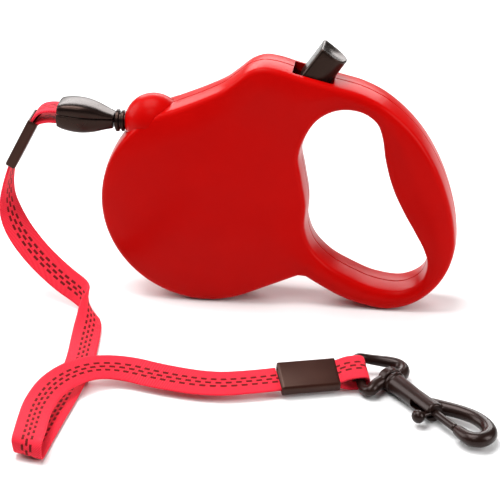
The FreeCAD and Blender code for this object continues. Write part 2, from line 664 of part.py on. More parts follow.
def make_upper_loop():
    """The loop bends from the sleeve's direction into the mouth of the cord stop."""
    angle = math.radians(UPPER_SLEEVE_DEG)
    along = (-math.cos(angle), -math.sin(angle))
    across = (-math.sin(angle), math.cos(angle))
    x, z = UPPER_SLEEVE_TOP[0], UPPER_SLEEVE_TOP[2]
    half = TAPE_THICK + 0.2

    def at(s, n):
        return x + along[0] * s + across[0] * n, z + along[1] * s + across[1] * n
    tilt = math.radians(STOP_TILT)
    pin_x = STOP_X - LOOP_PIN_S * math.cos(tilt)
    pin_z = CORD_Z + LOOP_PIN_S * math.sin(tilt)
    outer = [at(-0.7, half), (x + 3.2, z + 5.2), (-90.5, pin_z + 3.9), (pin_x, pin_z + 3.4),
             (pin_x + 3.4, pin_z), (pin_x, pin_z - 3.4), (-90.5, pin_z - 3.7), (x + 5.6, z - 1.9),
             at(-0.7, -half)]
    inner = [(x + 2.4, z + 1.8), (x + 4.6, z + 4.1), (-90.8, pin_z + 2.7), (pin_x, pin_z + 2.2),
             (pin_x + 2.2, pin_z), (pin_x, pin_z - 2.2), (-90.8, pin_z - 2.5), (x + 5.8, z - 0.6)]
    tail = Part.makeBox(SLEEVE[0] + 1.9, TAPE_WIDTH, 2 * half, vec(-1.5, -TAPE_WIDTH / 2, -half))
    tail.Placement = upper_placement()
    return tail.fuse(band(outer, inner, TAPE_WIDTH / 2)).removeSplitter()


def make_upper_sleeve():
    sleeve = sleeve_at_origin()
    sleeve.Placement = upper_placement()
    return sleeve


def lower_placement():
    yaw = FreeCAD.Rotation(vec(0, 0, 1), LOWER_YAW)
    tilt = FreeCAD.Rotation(vec(1, 0, 0), LOWER_TILT)
    turn = yaw.multiply(tilt).multiply(FreeCAD.Rotation(vec(0, 0, 1), 180.0))
    along = vec(math.cos(math.radians(LOWER_YAW)), math.sin(math.radians(LOWER_YAW)), 0)
    return FreeCAD.Placement(vec(*LOWER_SLEEVE) + along * (SLEEVE[0] / 2), turn)


def make_lower_sleeve():
    sleeve = sleeve_at_origin()
    sleeve.Placement = lower_placement()
    return sleeve


def make_lower_loop():
    loop = loop_at_origin(9.0, 7.0, 2.5)
    loop.Placement = lower_placement()
    return loop


def make_webbing():
    solid, path, radii = tube(ROUTE, WEBBING_R)
    area = math.pi * WEBBING_R ** 2
    ratio = solid.Volume / area / path.Length
    print("webbing length", round(path.Length, 1), "volume ratio", round(ratio, 4))
    print("webbing radii", [round(r, 1) for r in radii])
    return solid


# ---- snap ----

def snap_placement():
    turn = FreeCAD.Rotation(vec(0, 0, 1), SNAP_YAW)
    return FreeCAD.Placement(vec(*SNAP_ORIGIN), turn)


def placed(shape):
    shape.Placement = snap_placement().multiply(shape.Placement)
    return shape


def eye_bar():
    """The middle and direction of the straight bar of the eye, where the webbing loop holds it."""
    place = lower_placement()
    middle = place.multVec(vec(-9.0, 0, 0))
    direction = place.Rotation.multVec(vec(0, 1, 0))
    return middle, direction


def make_swivel_eye():
    middle, direction = eye_bar()
    collar = snap_placement().multVec(vec(2.0, 0, 0))
    side = snap_placement().Rotation.multVec(vec(0, 1, 0))
    upper, lower = middle + direction * -9.4, middle + direction * 9.4
    upper_bend = vec(upper.x + 7.5, upper.y + 2.5, 5.8)
    upper_arm = vec(collar.x + 4.0, collar.y + 13.5, 5.0)
    lower_bend = vec(lower.x + 4.0, lower.y - 5.0, 3.2)
    points = [collar + side * 1.0, collar + side * 8.0, upper_arm, upper_bend, upper, lower, lower_bend,
              collar - side * 7.5, collar - side * 1.0]
    ring, _, _ = tube([tuple(p) for p in points], 1.9)
    boss = Part.makeCylinder(4.4, 4.0, vec(0, 0, 0), vec(1, 0, 0))
    boss.Placement = snap_placement()
    hole = Part.makeCylinder(2.5 + RUNNING, 8.0, vec(-2, 0, 0), vec(1, 0, 0))
    hole.Placement = snap_placement()
    return ring.fuse(boss).cut(hole).removeSplitter()


def make_swivel_rivet():
    head = Part.makeCylinder(3.8, 1.4, vec(-1.7, 0, 0), vec(1, 0, 0))
    shank = Part.makeCylinder(2.5, 9.7, vec(-1.0, 0, 0), vec(1, 0, 0))
    return placed(head.fuse(shank))


def hook_points():
    return [(30.0, 2.0, 0), (36.5, 7.0, 0), (43.5, 10.8, 0), (51.0, 11.4, 0), (57.4, 8.4, 0),
            (59.2, 3.2, 0), (56.6, -0.2, 0), (50.1, 0.0, 0)]


def make_snap_body():
    barrel = Part.makeCylinder(BARREL_R, 31.0, vec(4.4, 0, 0), vec(1, 0, 0))
    ring = Part.makeCylinder(BARREL_R + 0.6, 2.0, vec(4.4, 0, 0), vec(1, 0, 0))
    hook, _, _ = tube(hook_points(), SNAP_WIRE_R)
    body = barrel.fuse(ring).fuse(hook)
    body = body.cut(Part.makeCylinder(GATE_R + 0.1, 40.0, vec(10.0, 0, 0), vec(1, 0, 0)))
    body = body.cut(Part.makeBox(14.5, 6.0, 3.2, vec(22.4, -6.0, -1.6)))
    body = body.cut(Part.makeCylinder(2.5, 4.4, vec(4.3, 0, 0), vec(1, 0, 0)))
    return placed(biggest(body))


def make_gate_bolt():
    rod = Part.makeCylinder(GATE_R, 27.5, vec(22.0, 0, 0), vec(1, 0, 0))
    arm = Part.makeBox(3.4, 6.5, 2.4, vec(32.0, -6.5, -1.2))
    knob = Part.makeSphere(3.0, vec(33.7, -7.6, 0))
    return placed(rod.fuse(arm).fuse(knob).removeSplitter())


def make_gate_spring():
    spring = bellows(11.6, GATE_R, 0.35, 9)
    spring.Placement = FreeCAD.Placement(vec(10.2, 0, 0), FreeCAD.Rotation(vec(0, 0, 1), vec(1, 0, 0)))
    return placed(spring)


def build():
    return {
        "front_shell": make_shell(-1), "rear_shell": make_shell(1), "nose_guide": make_nose_guide(),
        "nose_bush": make_nose_bush(), "case_screws": make_case_screws(), "spool_axle": make_spool_axle(),
        "axle_washers": make_axle_washers(), "spring_arbor": make_spring_arbor(),
        "cord_run": make_cord_run(), "pawl_pin": make_pawl_pin(), "spool_hub": make_spool_hub(),
        "spool_flange": make_spool_flange(), "spring_cover": make_spring_cover(),
        "mainspring": make_mainspring(), "cord_winding": make_cord_winding(),
        "lock_slider": make_lock_slider(), "brake_button": make_brake_button(),
        "button_spring": make_button_spring(), "brake_pawl": make_brake_pawl(),
        "cord_stop_upper": make_cord_stop(True), "cord_stop_lower": make_cord_stop(False),
        "loop_pin": make_loop_pin(), "cord_end": make_cord_end(), "upper_loop": make_upper_loop(),
        "upper_sleeve": make_upper_sleeve(), "webbing": make_webbing(),
        "lower_sleeve": make_lower_sleeve(), "lower_loop": make_lower_loop(), "swivel_eye": make_swivel_eye(),
        "swivel_rivet": make_swivel_rivet(), "snap_body": make_snap_body(), "gate_bolt": make_gate_bolt(),
        "gate_spring": make_gate_spring(),
    }


os.makedirs("parts", exist_ok=True)
for name, shape in build().items():
    shape.exportStep("parts/" + name + ".step")
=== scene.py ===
import bmesh
import bpy
import math
from mathutils import Matrix, Vector
from mathutils.geometry import delaunay_2d_cdt
from mathutils.kdtree import KDTree


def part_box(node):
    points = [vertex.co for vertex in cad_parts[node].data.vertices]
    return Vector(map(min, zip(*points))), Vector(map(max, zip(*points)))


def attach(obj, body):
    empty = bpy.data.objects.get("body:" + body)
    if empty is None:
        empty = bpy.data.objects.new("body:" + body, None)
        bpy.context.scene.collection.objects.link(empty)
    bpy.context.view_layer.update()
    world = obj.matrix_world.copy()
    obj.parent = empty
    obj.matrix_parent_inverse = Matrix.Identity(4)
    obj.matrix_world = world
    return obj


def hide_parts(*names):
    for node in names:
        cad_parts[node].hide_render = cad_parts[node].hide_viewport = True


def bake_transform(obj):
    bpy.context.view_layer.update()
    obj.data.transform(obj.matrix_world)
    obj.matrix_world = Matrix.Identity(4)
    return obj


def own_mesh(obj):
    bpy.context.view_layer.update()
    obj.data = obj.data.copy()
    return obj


# A retractable leash.  Metres, +Z up, +X from the nose to the handle, +Y to the rear side.
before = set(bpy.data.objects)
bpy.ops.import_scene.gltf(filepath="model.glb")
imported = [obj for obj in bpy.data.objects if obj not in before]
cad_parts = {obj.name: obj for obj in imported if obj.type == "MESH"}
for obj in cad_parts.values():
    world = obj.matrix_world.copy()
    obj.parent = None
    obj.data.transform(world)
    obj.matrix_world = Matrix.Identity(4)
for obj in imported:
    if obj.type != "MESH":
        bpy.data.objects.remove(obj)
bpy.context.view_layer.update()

# drum, from the spool's own box: it turns about the drum's axis
hub_low, hub_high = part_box("spool_hub")
DRUM_X = (hub_low.x + hub_high.x) / 2
DRUM_Z = (hub_low.z + hub_high.z) / 2
DRUM_R = 0.048
FACE_RISE = 0.0040      # how far the drum's faces bulge
DOME_REACH = 0.052      # radius at which the bulge has died away
WALL = 0.0023
RIM_CROWN = 0.0088      # half width of the crowned rim
SHOULDER = 0.0026       # radius of the shoulder between rim and face
EDGE_DEPTH = 0.0042     # width of the band that the edge profile covers
EDGE_HALF = 0.0117      # half thickness where that band ends
SWELL = 0.0011          # how far the face rises from there
SWELL_WIDTH = 0.0095
OUTLINE_STEP = 0.0012
NOTCH_ROUNDING = 0.0016
DRUM_TOP_DEG = 106.4
DRUM_END_DEG = 294.0
NOTCH = (0.0213, 0.0148)
HANDLE = [(0.0287, 0.0103), (0.0375, 0.0054), (0.0490, 0.0014), (0.0605, -0.0003), (0.0720, 0.0028),
          (0.0813, 0.0100), (0.0876, 0.0196), (0.0906, 0.0306), (0.0902, 0.0416), (0.0868, 0.0566),
          (0.0810, 0.0712), (0.0733, 0.0838), (0.0645, 0.0934), (0.0560, 0.0999), (0.0460, 0.1046),
          (0.0360, 0.1072), (0.0175, 0.1119), (0.0085, 0.1144), (0.0030, 0.1150), (-0.0032, 0.1130),
          (-0.0090, 0.1085), (-0.0146, 0.1040), (-0.0234, 0.0994)]
FINGER_HOLE = [(0.0234, 0.0496), (0.0214, 0.0625), (0.0199, 0.0725), (0.0228, 0.0826), (0.0286, 0.0909),
               (0.0350, 0.0946), (0.0410, 0.0955), (0.0485, 0.0938), (0.0535, 0.0895), (0.0556, 0.0836),
               (0.0572, 0.0735), (0.0610, 0.0596), (0.0664, 0.0479), (0.0720, 0.0378), (0.0757, 0.0306),
               (0.0776, 0.0235), (0.0753, 0.0156), (0.0675, 0.0106), (0.0553, 0.0110), (0.0430, 0.0158),
               (0.0324, 0.0222), (0.0260, 0.0296), (0.0232, 0.0380)]
SCREW_POST_R = 0.0043
SCREW_HOLE_R = 0.0031
SCREW_PLACES = [(-0.0036, 0.0996), (0.0705, 0.0730), (0.0839, 0.0270), (0.0219, 0.0219)]

# nose and cord
CORD_Z = 0.0830
CORD_R = 0.0012
NOSE_X = -0.0471
NOSE_R = 0.0134
NOSE_HALF = 0.0118
NOSE_BORE_R = 0.0036
SPOOL_SPACE_R = 0.043   # room kept free round the spool
BUSH_FRONT = -0.0646

# brake button: its axis leans this far from the horizontal
STEM_DEG = 55.0
BUTTON_TOP = Vector((0.0337, 0.0, 0.1189))
BUTTON_HALF_P = 0.0065
BUTTON_HALF_Y = 0.0073
BUTTON_DEPTH = 0.0165
SPRING_SEAT = 0.0224    # depth of the lock slider's face, where the button's spring stands
SLOT_LOW = -0.0107      # the slot leaves room on the nose side for the button's sliding lock
SLOT_HIGH = 0.0069
SLOT_HALF_Y = 0.0077
SLOT_DEPTH = 0.0185
SLOT_WALL = 0.0014

# cord stop: distance from its narrow end, width and height of each section
STOP_X = -0.0651
STOP_TILT = math.radians(6.0)
STOP_SECTIONS = [(0.0, 0.0080, 0.0064), (0.0040, 0.0106, 0.0086), (0.0090, 0.0136, 0.0120),
                 (0.0150, 0.0160, 0.0138), (0.0200, 0.0160, 0.0136), (0.0243, 0.0154, 0.0118),
                 (0.0258, 0.0144, 0.0104)]
STOP_SPLIT = 0.0016
LOOP_PIN_S = 0.0195

# snap hook
SNAP_ORIGIN = Vector((0.0652, -0.0830, 0.0047))
SNAP_YAW = math.radians(-53.0)
BOLT_BACK = 0.0220
BOLT_KNOB_X = 0.0337
BOLT_KNOB_Y = -0.0076
BOLT_SPRING_FOOT = 0.0102

# webbing
TAPE_HALF = 0.0063
TAPE_THICK = 0.0012
SLEEVE_LENGTH = 0.025
SLEEVE_WIDTH = 0.0155
SLEEVE_THICK = 0.0050
UPPER_SLEEVE_TOP = Vector((-0.1012, 0.0, 0.0828))
UPPER_SLEEVE_DEG = 62.0
LOWER_SLEEVE_MIDDLE = Vector((0.0320, -0.0884, 0.0059))
LOWER_YAW = math.radians(17.0)
LOWER_TILT = math.radians(20.0)
ROUTE = [(-0.1131, 0.0, 0.0604), (-0.1166, -0.0018, 0.0490), (-0.1135, -0.0065, 0.0345),
         (-0.1030, -0.0130, 0.0225), (-0.0885, -0.0195, 0.0120), (-0.0760, -0.0265, 0.0076),
         (-0.0710, -0.0390, 0.0052), (-0.0698, -0.0570, 0.0022), (-0.0678, -0.0800, 0.0014),
         (-0.0684, -0.1040, 0.0012), (-0.0704, -0.1270, 0.0012), (-0.0716, -0.1440, 0.0012),
         (-0.0722, -0.1540, 0.0013), (-0.0725, -0.1605, 0.0021), (-0.0726, -0.1606, 0.0087),
         (-0.0729, -0.1542, 0.0091), (-0.0740, -0.1440, 0.0083), (-0.0750, -0.1280, 0.0080),
         (-0.0718, -0.1110, 0.0086), (-0.0620, -0.0970, 0.0086), (-0.0480, -0.0905, 0.0064),
         (-0.0300, -0.0960, 0.0058), (-0.0080, -0.1002, 0.0058), (0.0090, -0.0962, 0.0059),
         (0.0197, -0.0922, 0.0059)]
# which way the webbing's width points at each point of its route
ROUTE_WIDTH = [(0.05, 1.0, 0.0), (0.15, 0.98, 0.1), (0.5, 0.75, 0.35), (0.75, 0.4, 0.5), (0.66, 0.3, 0.66),
               (0.55, 0.0, 0.8), (-0.7, -0.3, 0.65), (-0.97, 0.0, 0.2), (-1.0, 0.0, 0.03), (-1.0, 0.0, 0.0),
               (-1.0, 0.0, 0.0), (-1.0, 0.02, 0.0), (-0.98, 0.15, 0.03), (-0.96, 0.25, 0.1),
               (-0.96, 0.25, 0.12), (-0.97, 0.2, 0.1), (-0.97, 0.05, 0.15), (-0.95, 0.0, 0.25),
               (-0.85, 0.35, 0.4), (-0.65, 0.65, 0.42), (-0.25, 0.87, 0.42), (0.05, 0.9, 0.42),
               (-0.02, 0.92, 0.38), (-0.25, 0.9, 0.34), (-0.275, 0.899, 0.342)]

# camera
AZIMUTH = math.radians(7.0)
ELEVATION = math.radians(25.0)
CAMERA_DISTANCE = 0.9
CAMERA_TARGET = Vector((-0.0036, 0.0, 0.0218))
CAMERA_LENS = 140.6


# ---- mesh helpers ----

def new_object(name, bm, smooth_deg=40.0):
    """A smooth-shaded object from a bmesh, with the edges over an angle kept crisp."""
    bmesh.ops.recalc_face_normals(bm, faces=bm.faces)
    mesh = bpy.data.meshes.new(name)
    bm.to_mesh(mesh)
    bm.free()
    mesh.shade_smooth()
    mesh.set_sharp_from_angle(angle=math.radians(smooth_deg))
    piece = bpy.data.objects.new(name, mesh)
    bpy.context.scene.collection.objects.link(piece)
    return piece


def skin(bm, rings, closed_ring=True, caps=(True, True), loop=False):
    """Quads between rings of points; loop joins the last ring to the first one."""
    made = [[bm.verts.new(p) for p in ring] for ring in rings]
    pairs = list(zip(made, made[1:]))
    if loop:
        pairs.append((made[-1], made[0]))
    count = len(made[0])
    for ring, following in pairs:
        for i in range(count if closed_ring else count - 1):
            j = (i + 1) % count
            bm.faces.new((ring[i], ring[j], following[j], following[i]))
    if caps[0] and not loop:
        bm.faces.new(made[0][::-1])
    if caps[1] and not loop:
        bm.faces.new(made[-1])
    return made


def smooth_line(points, steps):
    """Points along the smooth NURBS line that a list of control points makes."""
    curve = bpy.data.curves.new("line", "CURVE")
    curve.dimensions = "3D"
    spline = curve.splines.new("NURBS")
    spline.points.add(len(points) - 1)
    for knot, point in zip(spline.points, points):
        knot.co = (*point, 1.0)
    spline.order_u = 3
    spline.use_endpoint_u = True
    curve.resolution_u = steps
    holder = bpy.data.objects.new("line", curve)
    mesh = bpy.data.meshes.new_from_object(holder)
    line = [v.co.copy() for v in mesh.vertices]
    bpy.data.objects.remove(holder)
    bpy.data.meshes.remove(mesh)
    return line


def through_points(points, spacing, closed=False):
    """Evenly spaced points on a smooth line that goes through the given 2-D points."""
    fine, last = [], len(points)
    spans = last if closed else last - 1
    for i in range(spans):
        if closed:
            p0, p1, p2, p3 = (Vector(points[(i + k) % last]) for k in (-1, 0, 1, 2))
        else:
            p1, p2 = Vector(points[i]), Vector(points[i + 1])
            p0 = Vector(points[i - 1]) if i else 2 * p1 - p2
            p3 = Vector(points[i + 2]) if i + 2 < last else 2 * p2 - p1
        chord, before, after = (p2 - p1).length, (p1 - p0).length, (p3 - p2).length
        start = ((p1 - p0) / before * chord + (p2 - p1) / chord * before) / (before + chord) * chord
        end = ((p2 - p1) / chord * after + (p3 - p2) / after * chord) / (after + chord) * chord
        for k in range(24):
            t = k / 24
            fine.append(p1 * (2 * t ** 3 - 3 * t ** 2 + 1) + start * (t ** 3 - 2 * t ** 2 + t)
                        + p2 * (3 * t ** 2 - 2 * t ** 3) + end * (t ** 3 - t ** 2))
    fine.append(Vector(points[0]) if closed else Vector(points[-1]))
    return even(fine, spacing)


def even(line, spacing):
    """The same line with its points a whole number of equal steps apart."""
    lengths = [0.0]
    for a, b in zip(line, line[1:]):
        lengths.append(lengths[-1] + (b - a).length)
    count = max(2, round(lengths[-1] / spacing))
    result, at = [], 0
    for i in range(count + 1):
        want = lengths[-1] * i / count
        while at < len(lengths) - 2 and lengths[at + 1] < want:
            at += 1
        share = (want - lengths[at]) / max(lengths[at + 1] - lengths[at], 1e-12)
        result.append(line[at].lerp(line[at + 1], min(1.0, share)))
    return result


def rounded_ring(width, height, corner, per_corner=7):
    """A rounded rectangle as (across, up) pairs, counter-clockwise."""
    ring = []
    for quarter, (sx, sy) in enumerate(((1, 1), (-1, 1), (-1, -1), (1, -1))):
        for k in range(per_corner):
            angle = math.pi / 2 * (quarter + k / (per_corner - 1))
            ring.append((sx * (width / 2 - corner) + corner * math.cos(angle),
                         sy * (height / 2 - corner) + corner * math.sin(angle)))
    return ring


def cut(piece, tool, operation="DIFFERENCE"):
    """The exact boolean of two meshes; the tool is used up."""
    modifier = piece.modifiers.new("cut", "BOOLEAN")
    modifier.operation = operation
    modifier.solver = "EXACT"
    modifier.object = tool
    settle(piece)
    bpy.data.objects.remove(tool)
    return piece


def settle(piece, smooth_deg=40.0):
    """Makes what the modifiers of a piece give its mesh."""
    evaluated = piece.evaluated_get(bpy.context.evaluated_depsgraph_get())
    mesh = bpy.data.meshes.new_from_object(evaluated)
    piece.modifiers.clear()
    piece.data = mesh
    mesh.shade_smooth()
    mesh.set_sharp_from_angle(angle=math.radians(smooth_deg))


# ---- webbing ----

def tape_section():
    """Half of the tape's section, as shares of its half width and half thickness."""
    return [(-1.0, 0.0), (-0.985, 0.62), (-0.94, 0.95), (-0.80, 1.0), (-0.4, 1.0), (0.0, 1.0), (0.4, 1.0),
            (0.80, 1.0), (0.94, 0.95), (0.985, 0.62), (1.0, 0.0)]


def make_tape(name, centre, edge, floor=None):
    """A woven tape along a line; edge says where its width points. Its UV map is in millimetres."""
    half_section = tape_section()
    section = half_section + [(a, -b) for a, b in half_section[-2:0:-1]]
    bm = bmesh.new()
    layer = bm.loops.layers.uv.new("tape")
    rings, along, length = [], [], 0.0
    for i, point in enumerate(centre):
        tangent = (centre[min(i + 1, len(centre) - 1)] - centre[max(i - 1, 0)]).normalized()
        width = edge[i] - point
        width = (width - tangent * width.dot(tangent)).normalized()
        normal = tangent.cross(width)
        middle = point.copy()
        if floor is not None:
            reach = TAPE_HALF * abs(width.z) + TAPE_THICK / 2 * abs(normal.z)
            middle.z = max(middle.z, floor + reach)
        rings.append([middle + width * (a * TAPE_HALF) + normal * (b * TAPE_THICK / 2) for a, b in section])
        length += (point - centre[i - 1]).length if i else 0.0
        along.append(length * 1000)
    made = skin(bm, rings)
    place = {}
    for i, ring in enumerate(made):
        for vertex, (a, b) in zip(ring, section):
            place[vertex] = (along[i], a * TAPE_HALF * 1000 + (0.0 if b >= 0 else 0.5))
    for face in bm.faces:
        for corner in face.loops:
            corner[layer].uv = place[corner.vert]
    return new_object(name, bm)


def widen(points, widths):
    return [Vector(p) + Vector(w) * TAPE_HALF for p, w in zip(points, widths)]


def make_webbing():
    centre = smooth_line(ROUTE, 14)
    edge = smooth_line(widen(ROUTE, ROUTE_WIDTH), 14)
    piece = make_tape("webbing_tape", centre, edge, floor=0.0002)
    return piece, centre


def tape_in_plane(name, points, width):
    """A tape whose width keeps one direction."""
    centre = smooth_line(points, 12)
    edge = smooth_line(widen(points, [width] * len(points)), 12)
    return make_tape(name, centre, edge)


def upper_frame():
    """Origin, direction down the upper sleeve and direction across it."""
    angle = math.radians(UPPER_SLEEVE_DEG)
    return (UPPER_SLEEVE_TOP, Vector((-math.cos(angle), 0, -math.sin(angle))),
            Vector((-math.sin(angle), 0, math.cos(angle))))


def stop_matrix():
    return Matrix.Translation((STOP_X, 0, CORD_Z)) @ Matrix.Rotation(STOP_TILT, 4, "Y")


def lower_matrix():
    """The lower sleeve's frame: +X runs from its eye end to its webbing end."""
    turn = (Matrix.Rotation(LOWER_YAW, 4, "Z") @ Matrix.Rotation(LOWER_TILT, 4, "X")
            @ Matrix.Rotation(math.pi, 4, "Z"))
    along = Vector((math.cos(LOWER_YAW), math.sin(LOWER_YAW), 0))
    return Matrix.Translation(LOWER_SLEEVE_MIDDLE + along * SLEEVE_LENGTH / 2) @ turn


def make_upper_loop():
    origin, along, across = upper_frame()
    pin = stop_matrix() @ Vector((-LOOP_PIN_S, 0, 0))

    def at(s, n):
        return origin + along * s + across * n

    def by_pin(x, z):
        return pin + Vector((x, 0, z))
    points = [at(0.021, 0.0007), at(0.011, 0.0007), at(0.001, 0.0009), origin + Vector((0.0018, 0, 0.0040)),
              by_pin(-0.0100, 0.0031), by_pin(-0.0050, 0.0027), by_pin(0.0, 0.0024), by_pin(0.0034, 0.0020),
              by_pin(0.0034, -0.0020), by_pin(0.0, -0.0023), by_pin(-0.0060, -0.0021),
              origin + Vector((0.0064, 0, 0.0004)), at(0.001, -0.0009), at(0.011, -0.0007),
              at(0.021, -0.0007)]
    return tape_in_plane("upper_tape_loop", points, Vector((0, 1, 0)))


def make_lower_loop():
    place = lower_matrix()
    profile = [(0.0220, 0.0007), (0.0120, 0.0007), (0.0010, 0.0009), (-0.0030, 0.0030), (-0.0060, 0.0036),
               (-0.0105, 0.0036), (-0.0124, 0.0020), (-0.0124, -0.0020), (-0.0105, -0.0036),
               (-0.0060, -0.0036), (-0.0030, -0.0030), (0.0010, -0.0009), (0.0120, -0.0007),
               (0.0220, -0.0007)]
    points = [place @ Vector((x, 0, z)) for x, z in profile]
    return tape_in_plane("lower_tape_loop", points, place.to_3x3() @ Vector((0, 1, 0)))


def make_sleeve(name, place):
    """A moulded sleeve: rounded outside with softened ends, and a slot through it for the tape."""
    slot_width, slot_height = 2 * TAPE_HALF + 0.0003, 2 * TAPE_THICK + 0.0005
    stations = [(0.0, -0.0012, 0.0005), (0.00012, -0.0005, 0.0008), (0.0005, -0.0001, 0.0012),
                (0.0012, 0.0, 0.0013)]
    stations = stations + [(SLEEVE_LENGTH - x, grow, corner) for x, grow, corner in stations[::-1]]
    rings = []
    for x, grow, corner in stations:
        ring = rounded_ring(SLEEVE_WIDTH + grow, SLEEVE_THICK + grow, corner)
        rings.append([place @ Vector((x, a, b)) for a, b in ring])
    for x, grow in ((SLEEVE_LENGTH, 0.0008), (SLEEVE_LENGTH - 0.0006, 0.0), (0.0006, 0.0), (0.0, 0.0008)):
        ring = rounded_ring(slot_width + grow, slot_height + grow, 0.0004)
        rings.append([place @ Vector((x, a, b)) for a, b in ring])
    bm = bmesh.new()
    skin(bm, rings, loop=True)
    return new_object(name, bm, 50.0)


# ---- housing shells ----

def edge_profile():
    """A shell's edge, as (distance in from the outline, half thickness): groove, crowned rim, shoulder."""
    groove = [(0.00042, 0.0), (0.00042, 0.00012), (0.00030, 0.00028), (0.00003, 0.00050)]
    crown = [(0.0006 * (y / RIM_CROWN) ** 2, y) for y in (0.0015, 0.0035, 0.0055, 0.0070, 0.0080)]
    shoulder = []
    for degrees in (0, 20, 40, 60, 80):
        angle = math.radians(degrees)
        shoulder.append((0.0006 + SHOULDER * (1 - math.cos(angle)), RIM_CROWN + SHOULDER * math.sin(angle)))
    return groove + crown + shoulder + [(0.0034, 0.01152), (EDGE_DEPTH, EDGE_HALF)]


def cavity_profile():
    """The same for the hollow; it starts past the parting plane, so that the shell is open there."""
    return [(WALL, -0.0008), (WALL, 0.0035), (WALL, 0.0066), (WALL + 0.0004, 0.0080),
            (WALL + 0.0010, 0.0088), (EDGE_DEPTH, EDGE_HALF - WALL)]


def face_height(x, z, from_edge):
    """Half thickness of the housing: it swells from the edge band, and is domed over the drum."""
    q = min(1.0, math.hypot(x - DRUM_X, z - DRUM_Z) / DOME_REACH)
    t = min(1.0, from_edge / SWELL_WIDTH)
    return EDGE_HALF + SWELL * (1 - (1 - t) ** 2) + FACE_RISE * (1 - q * q) ** 2


def drum_point(degrees):
    angle = math.radians(degrees)
    return Vector((DRUM_X + DRUM_R * math.cos(angle), DRUM_Z + DRUM_R * math.sin(angle)))


def outline_points():
    """The housing's outline in the XZ plane: drum, straight run, notch, handle, neck and hump."""
    sweep = DRUM_END_DEG - DRUM_TOP_DEG
    steps = 120
    line = [drum_point(DRUM_TOP_DEG + sweep * i / steps) for i in range(steps + 1)]
    line += even([line[-1], Vector(NOTCH)], OUTLINE_STEP)[1:]
    line += through_points([NOTCH] + HANDLE + [tuple(line[0])], OUTLINE_STEP)[1:-1]
    line = even(line + [line[0]], OUTLINE_STEP)[:-1]
    near = [i for i, p in enumerate(line) if (p - Vector(NOTCH)).length < NOTCH_ROUNDING]
    for _ in range(40):
        for i in near:
            line[i] = (line[i - 1] + line[i] * 2 + line[(i + 1) % len(line)]) / 4
    return line


def moved_in(line, distance):
    """A closed line moved to its left, which is into the housing's wall."""
    moved, count = [], len(line)
    for i, point in enumerate(line):
        along = (line[(i + 1) % count] - line[i - 1]).normalized()
        moved.append(point + Vector((-along.y, along.x)) * distance)
    return moved


def inside(point, loop):
    """Whether a point lies within a closed loop of points."""
    within = False
    for a, b in zip(loop, loop[1:] + loop[:1]):
        if (a.y > point.y) != (b.y > point.y):
            if point.x < a.x + (b.x - a.x) * (point.y - a.y) / (b.y - a.y):
                within = not within
    return within


def fill(bm, outer, inner, height, spacing):
    """Triangles between two loops of the XZ plane; height is a function of x, z and the edge's distance."""
    tree = KDTree(len(outer) + len(inner))
    for i, p in enumerate(outer + inner):
        tree.insert((p.x, p.y, 0), i)
    tree.balance()
    low = Vector((min(p.x for p in outer), min(p.y for p in outer)))
    high = Vector((max(p.x for p in outer), max(p.y for p in outer)))
    points, row, z = outer + inner, 0, low.y
    while z < high.y:
        x = low.x + (spacing / 2 if row % 2 else 0.0)
        while x < high.x:
            here = Vector((x, z))
            apart = tree.find((x, z, 0))[2] > spacing * 0.55
            if apart and inside(here, outer) and not inside(here, inner):
                points = points + [here]
            x += spacing
        z += spacing * 0.87
        row += 1
    first, second = len(outer), len(inner)
    edges = [(i, (i + 1) % first) for i in range(first)]
    edges += [(first + i, first + (i + 1) % second) for i in range(second)]
    made = delaunay_2d_cdt(points, edges, [], 0, 1e-7)
    verts = []
    for p in made[0]:
        from_edge = tree.find((p.x, p.y, 0))[2]
        verts.append(bm.verts.new((p.x, height(p.x, p.y, from_edge), p.y)))
    for triangle in made[2]:
        middle = (made[0][triangle[0]] + made[0][triangle[1]] + made[0][triangle[2]]) / 3
        if inside(middle, outer) and not inside(middle, inner):
            bm.faces.new([verts[i] for i in triangle])


def half_solid(name, profile, inset, spacing):
    """The front half of the housing, or of its hollow, as a closed mesh."""
    outline, hole = outline_points(), through_points(FINGER_HOLE, OUTLINE_STEP, True)[:-1]
    full = profile[-1][1]

    def depth(x, z, half, from_edge=0.0):
        return -half / full * (face_height(x, z, from_edge) - inset)
    bm = bmesh.new()
    loops = []
    for line in (outline, hole):
        flat = [moved_in(line, distance) for distance, _ in profile]
        rings = [[(p.x, depth(p.x, p.y, half), p.y) for p in ring] for ring, (_, half) in zip(flat, profile)]
        skin(bm, rings, caps=(False, False))
        loops.append((flat[0], flat[-1]))
    fill(bm, loops[0][1], loops[1][1], lambda x, z, from_edge: depth(x, z, full, from_edge), spacing)
    fill(bm, loops[0][0], loops[1][0], lambda x, z, from_edge: depth(x, z, profile[0][1]), spacing * 3)
    bmesh.ops.remove_doubles(bm, verts=bm.verts, dist=1e-6)
    return new_object(name, bm)


def stem_axes():
    """The button's axis u, out of the housing, and p across it towards the handle."""
    angle = math.radians(STEM_DEG)
    return Vector((math.cos(angle), 0, math.sin(angle))), Vector((math.sin(angle), 0, -math.cos(angle)))


def stem_block(bm, depth_low, depth_high, across_low, across_high, half_y, corner):
    """A block along the button's axis with rounded edges."""
    u, p = stem_axes()
    ring = rounded_ring(across_high - across_low, 2 * half_y, corner, 5)
    middle = (across_low + across_high) / 2
    rings = [[BUTTON_TOP - u * depth + p * (middle + a) + Vector((0, b, 0)) for a, b in ring]
             for depth in (depth_low, depth_high)]
    skin(bm, rings)


def pin(bm, x, z, radius, y_low, y_high, count=48):
    turns = [2 * math.pi * i / count for i in range(count)]
    rings = [[(x + radius * math.cos(turn), y, z + radius * math.sin(turn)) for turn in turns]
             for y in (y_low, y_high)]
    skin(bm, rings)


